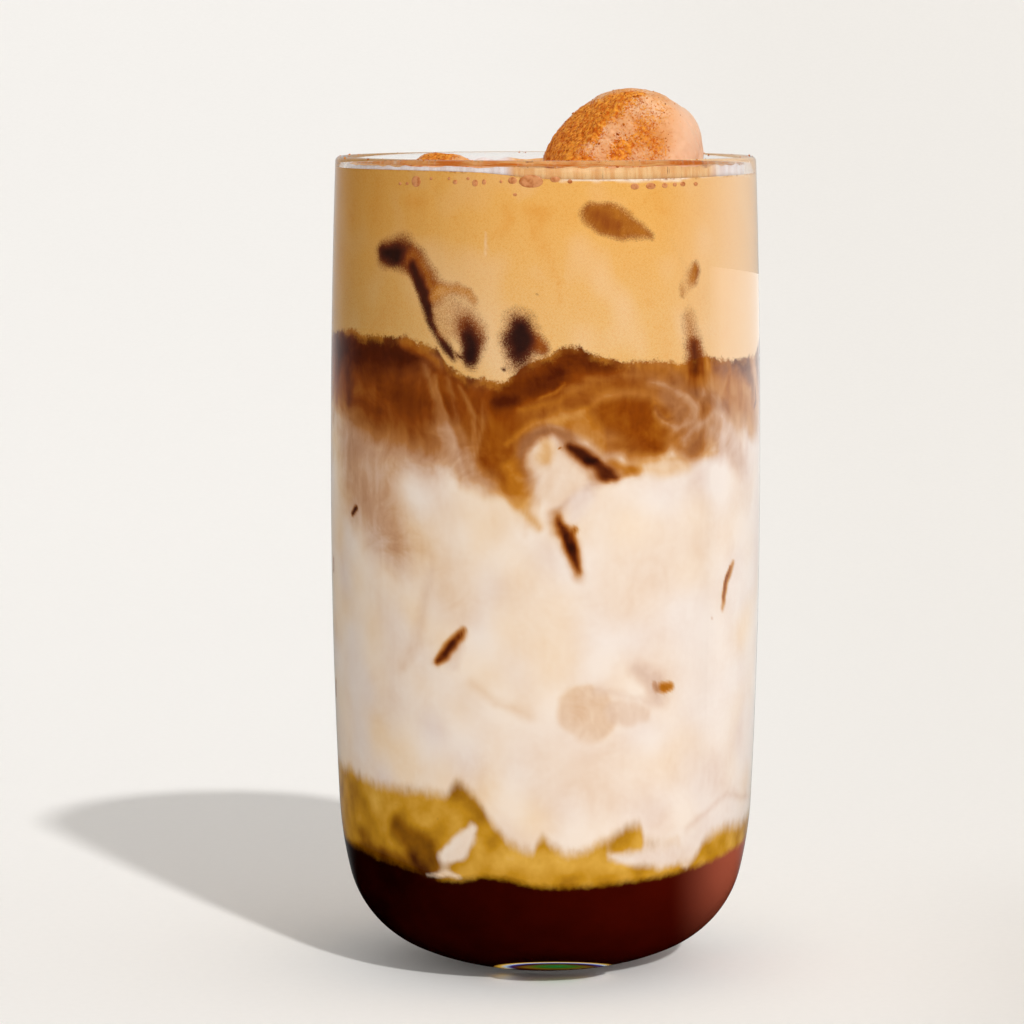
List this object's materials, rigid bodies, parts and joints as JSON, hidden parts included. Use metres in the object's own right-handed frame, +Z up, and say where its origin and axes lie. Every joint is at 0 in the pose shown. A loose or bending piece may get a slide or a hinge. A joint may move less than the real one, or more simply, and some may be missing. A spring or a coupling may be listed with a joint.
{
  "type": "iced latte in a tall tumbler",
  "caption": "Layered iced latte in a tall clear tumbler with a rounded base: syrup, milk, coffee and a spiced cream foam, with ice standing out of the top.",
  "frame": {"origin": "middle of the tumbler's foot, at the height of the surface that it stands on", "axes": "+Z up along the tumbler's own axis; -Y is the side that faces the viewer in the picture, and +X is to the viewer's right"},
  "size_m": [0.0744, 0.0744, 0.1517],
  "materials": {
    "glass": "clear polished glass",
    "syrup": "dark red-brown coffee syrup, glossy and nearly opaque",
    "haze": "golden haze of syrup in milk, with darker and paler patches",
    "milk": "warm white milk with faint tan wisps and a few dark gaps beside the ice",
    "coffee": "brown coffee that swirls into the milk",
    "foam": "tan cream foam with fine bubbles and spice",
    "ice": "wet ice clouded by cream, dusted with ground spice"
  },
  "bodies": {
    "root": {"glass": "glass", "syrup": "syrup", "haze": "haze", "milk": "milk", "coffee": "coffee", "foam": "foam", "ice_large": "ice", "ice_small": "ice"}
  },
  "joints": []
}
